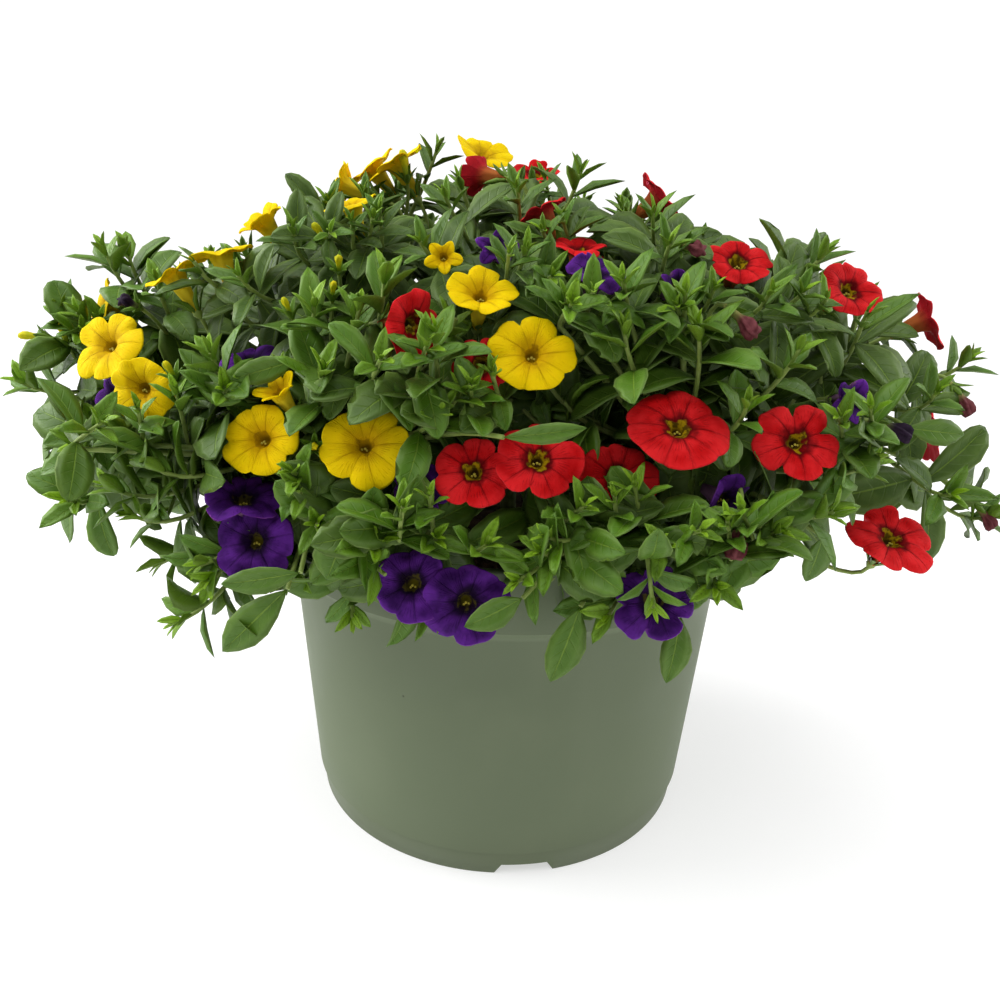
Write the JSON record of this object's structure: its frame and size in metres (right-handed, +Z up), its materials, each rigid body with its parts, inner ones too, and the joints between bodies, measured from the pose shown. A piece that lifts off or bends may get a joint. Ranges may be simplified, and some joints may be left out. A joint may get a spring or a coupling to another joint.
{
  "type": "calibrachoa in a nursery pot",
  "caption": "Potted calibrachoa plants: a spreading leafy mound of small trumpet flowers in yellow, red and purple over a round tapered grower's pot.",
  "frame": {"origin": "on the surface the pot stands on, under the middle of the plant and on the pot's axis", "axes": "+Z up along the pot's axis, +X to the right of the plant's full face and along its widest spread, -Y out of that face"},
  "size_m": [0.4211, 0.2806, 0.2892],
  "materials": {
    "pot_plastic": "sage green moulded plastic, matt, finely grained, a little soil dust",
    "soil": null,
    "leaf_green": null,
    "petal_yellow": null,
    "petal_red": null,
    "petal_purple": null
  },
  "bodies": {
    "root": {"pot": "pot_plastic", "soil": "soil", "heart_yellow": "leaf_green", "heart_red": "leaf_green", "heart_purple": "leaf_green", "trailing_stems_front_left": "leaf_green", "trailing_stems_front_right": "leaf_green", "trailing_stems_left": "leaf_green", "trailing_stems_right": "leaf_green", "trailing_stems_back_left": "leaf_green", "trailing_stems_back_right": "leaf_green", "yellow_blooms_front_1": "petal_yellow", "yellow_bloom_front_2": "petal_yellow", "yellow_bloom_front_3": "petal_yellow", "yellow_bloom_front_4": "petal_yellow", "yellow_blooms_front_5": "petal_yellow", "yellow_bloom_front_6": "petal_yellow", "yellow_bloom_front_7": "petal_yellow", "yellow_bloom_front_8": "petal_yellow", "yellow_bloom_front_9": "petal_yellow", "yellow_bloom_front_10": "petal_yellow", "yellow_bloom_front_11": "petal_yellow", "yellow_bloom_front_12": "petal_yellow", "yellow_bloom_front_13": "petal_yellow", "yellow_bloom_front_14": "petal_yellow", "yellow_bloom_front_15": "petal_yellow", "red_bloom_front_1": "petal_red", "red_bloom_front_2": "petal_red", "red_bloom_front_3": "petal_red", "red_bloom_front_4": "petal_red", "red_bloom_front_5": "petal_red", "red_bloom_front_6": "petal_red", "red_bloom_front_7": "petal_red", "red_bloom_front_8": "petal_red", "red_bloom_front_9": "petal_red", "red_bloom_front_10": "petal_red", "red_bloom_front_11": "petal_red", "red_bloom_front_12": "petal_red", "red_blooms_front_13": "petal_red", "red_bloom_front_14": "petal_red", "red_bloom_front_15": "petal_red", "purple_blooms_front_1": "petal_purple", "purple_blooms_front_2": "petal_purple", "purple_bloom_front_3": "petal_purple", "purple_bloom_front_4": "petal_purple", "purple_bloom_front_5": "petal_purple", "purple_bloom_front_6": "petal_purple", "purple_bloom_front_7": "petal_purple", "purple_bloom_front_8": "petal_purple", "purple_bloom_front_9": "petal_purple", "purple_bloom_front_10": "petal_purple", "purple_bloom_front_11": "petal_purple", "yellow_blooms_back_1": "petal_yellow", "yellow_bloom_back_2": "petal_yellow", "yellow_bloom_back_3": "petal_yellow", "red_bloom_back_1": "petal_red", "red_blooms_back_2": "petal_red", "red_bloom_back_3": "petal_red", "purple_bloom_back_1": "petal_purple", "purple_bloom_back_2": "petal_purple"}
  },
  "joints": []
}
